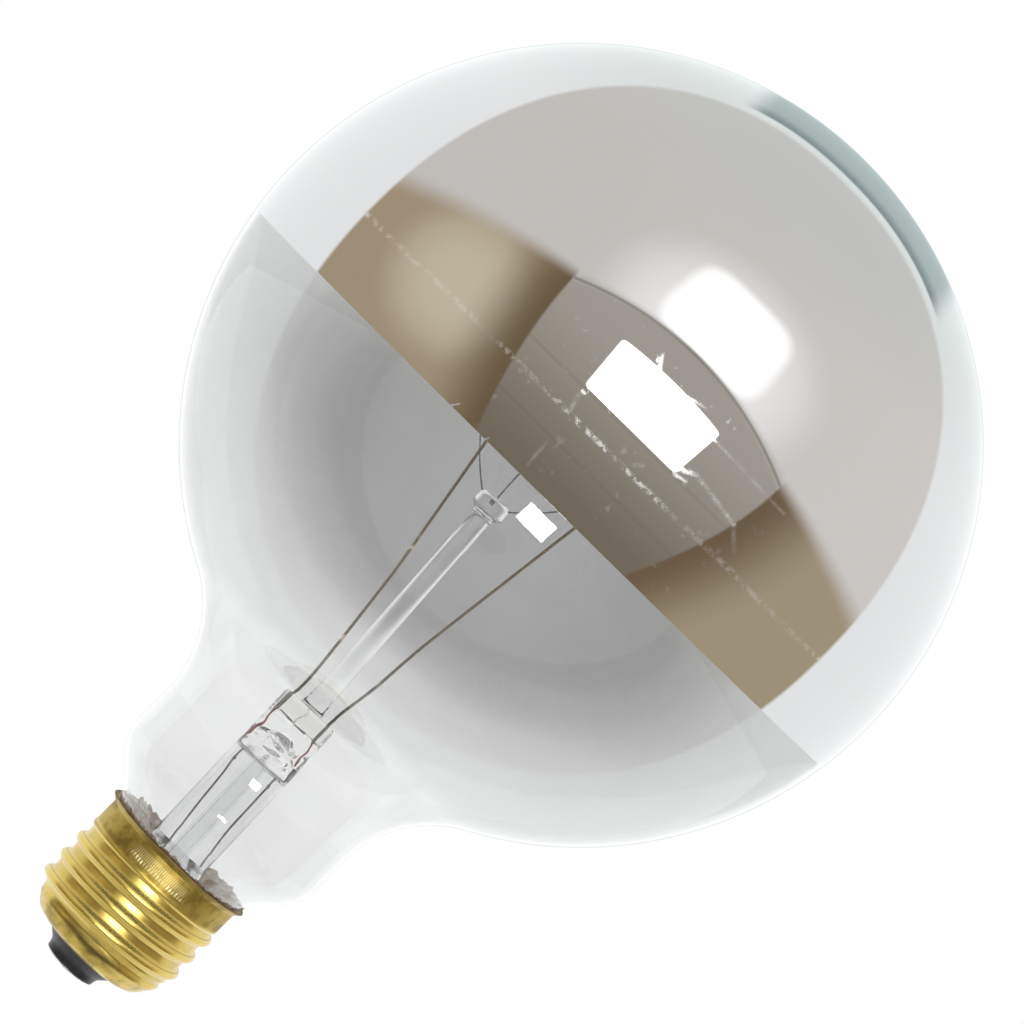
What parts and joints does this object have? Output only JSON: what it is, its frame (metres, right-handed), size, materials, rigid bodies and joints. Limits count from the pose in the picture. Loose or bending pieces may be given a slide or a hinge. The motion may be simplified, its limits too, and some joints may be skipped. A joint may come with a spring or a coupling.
{
  "type": "half chrome globe bulb",
  "caption": "Clear glass globe light bulb with a mirrored chrome crown, a glass stem that carries leads, support wires and a coiled filament, and a brass screw base.",
  "frame": {"origin": "centre of the flat end of the base contact, on the bulb's axis", "axes": "+Z along the bulb's axis from the base contact to the crown, +X to the side of the right-hand lead, +Y away from the viewer of the picture"},
  "size_m": [0.125, 0.125, 0.1768],
  "materials": {
    "clear_glass": "clear blown glass, polished",
    "mirror_chrome": "mirror bright metal coat with fine scuffs",
    "brass": "rolled sheet, bright on the thread crests, tarnished in its grooves",
    "black_glass": "opaque black glass, moulded",
    "tin_plate": "dull tinned sheet",
    "solder": "dull grey solder",
    "cement": "rough grey-brown cement",
    "nickel_wire": "heat-tinted nickel wire",
    "copper_clad_wire": "red-brown sealed wire",
    "dark_wire": "dark oxidised wire",
    "tungsten": "grey drawn wire"
  },
  "bodies": {
    "root": {"glass_envelope": "clear_glass", "mirror_coat": "mirror_chrome", "screw_shell": "brass", "base_insulator": "black_glass", "centre_contact": "tin_plate", "contact_solder": "solder", "basing_cement": "cement", "stem_flare": "clear_glass", "exhaust_tube": "clear_glass", "glass_rod": "clear_glass", "inner_lead_left": "nickel_wire", "inner_lead_right": "nickel_wire", "seal_wire_left": "copper_clad_wire", "seal_wire_right": "copper_clad_wire", "outer_lead_left": "dark_wire", "outer_lead_right": "dark_wire", "support_wire_left": "tungsten", "support_wire_centre": "tungsten", "support_wire_right": "tungsten", "filament": "tungsten"}
  },
  "joints": []
}
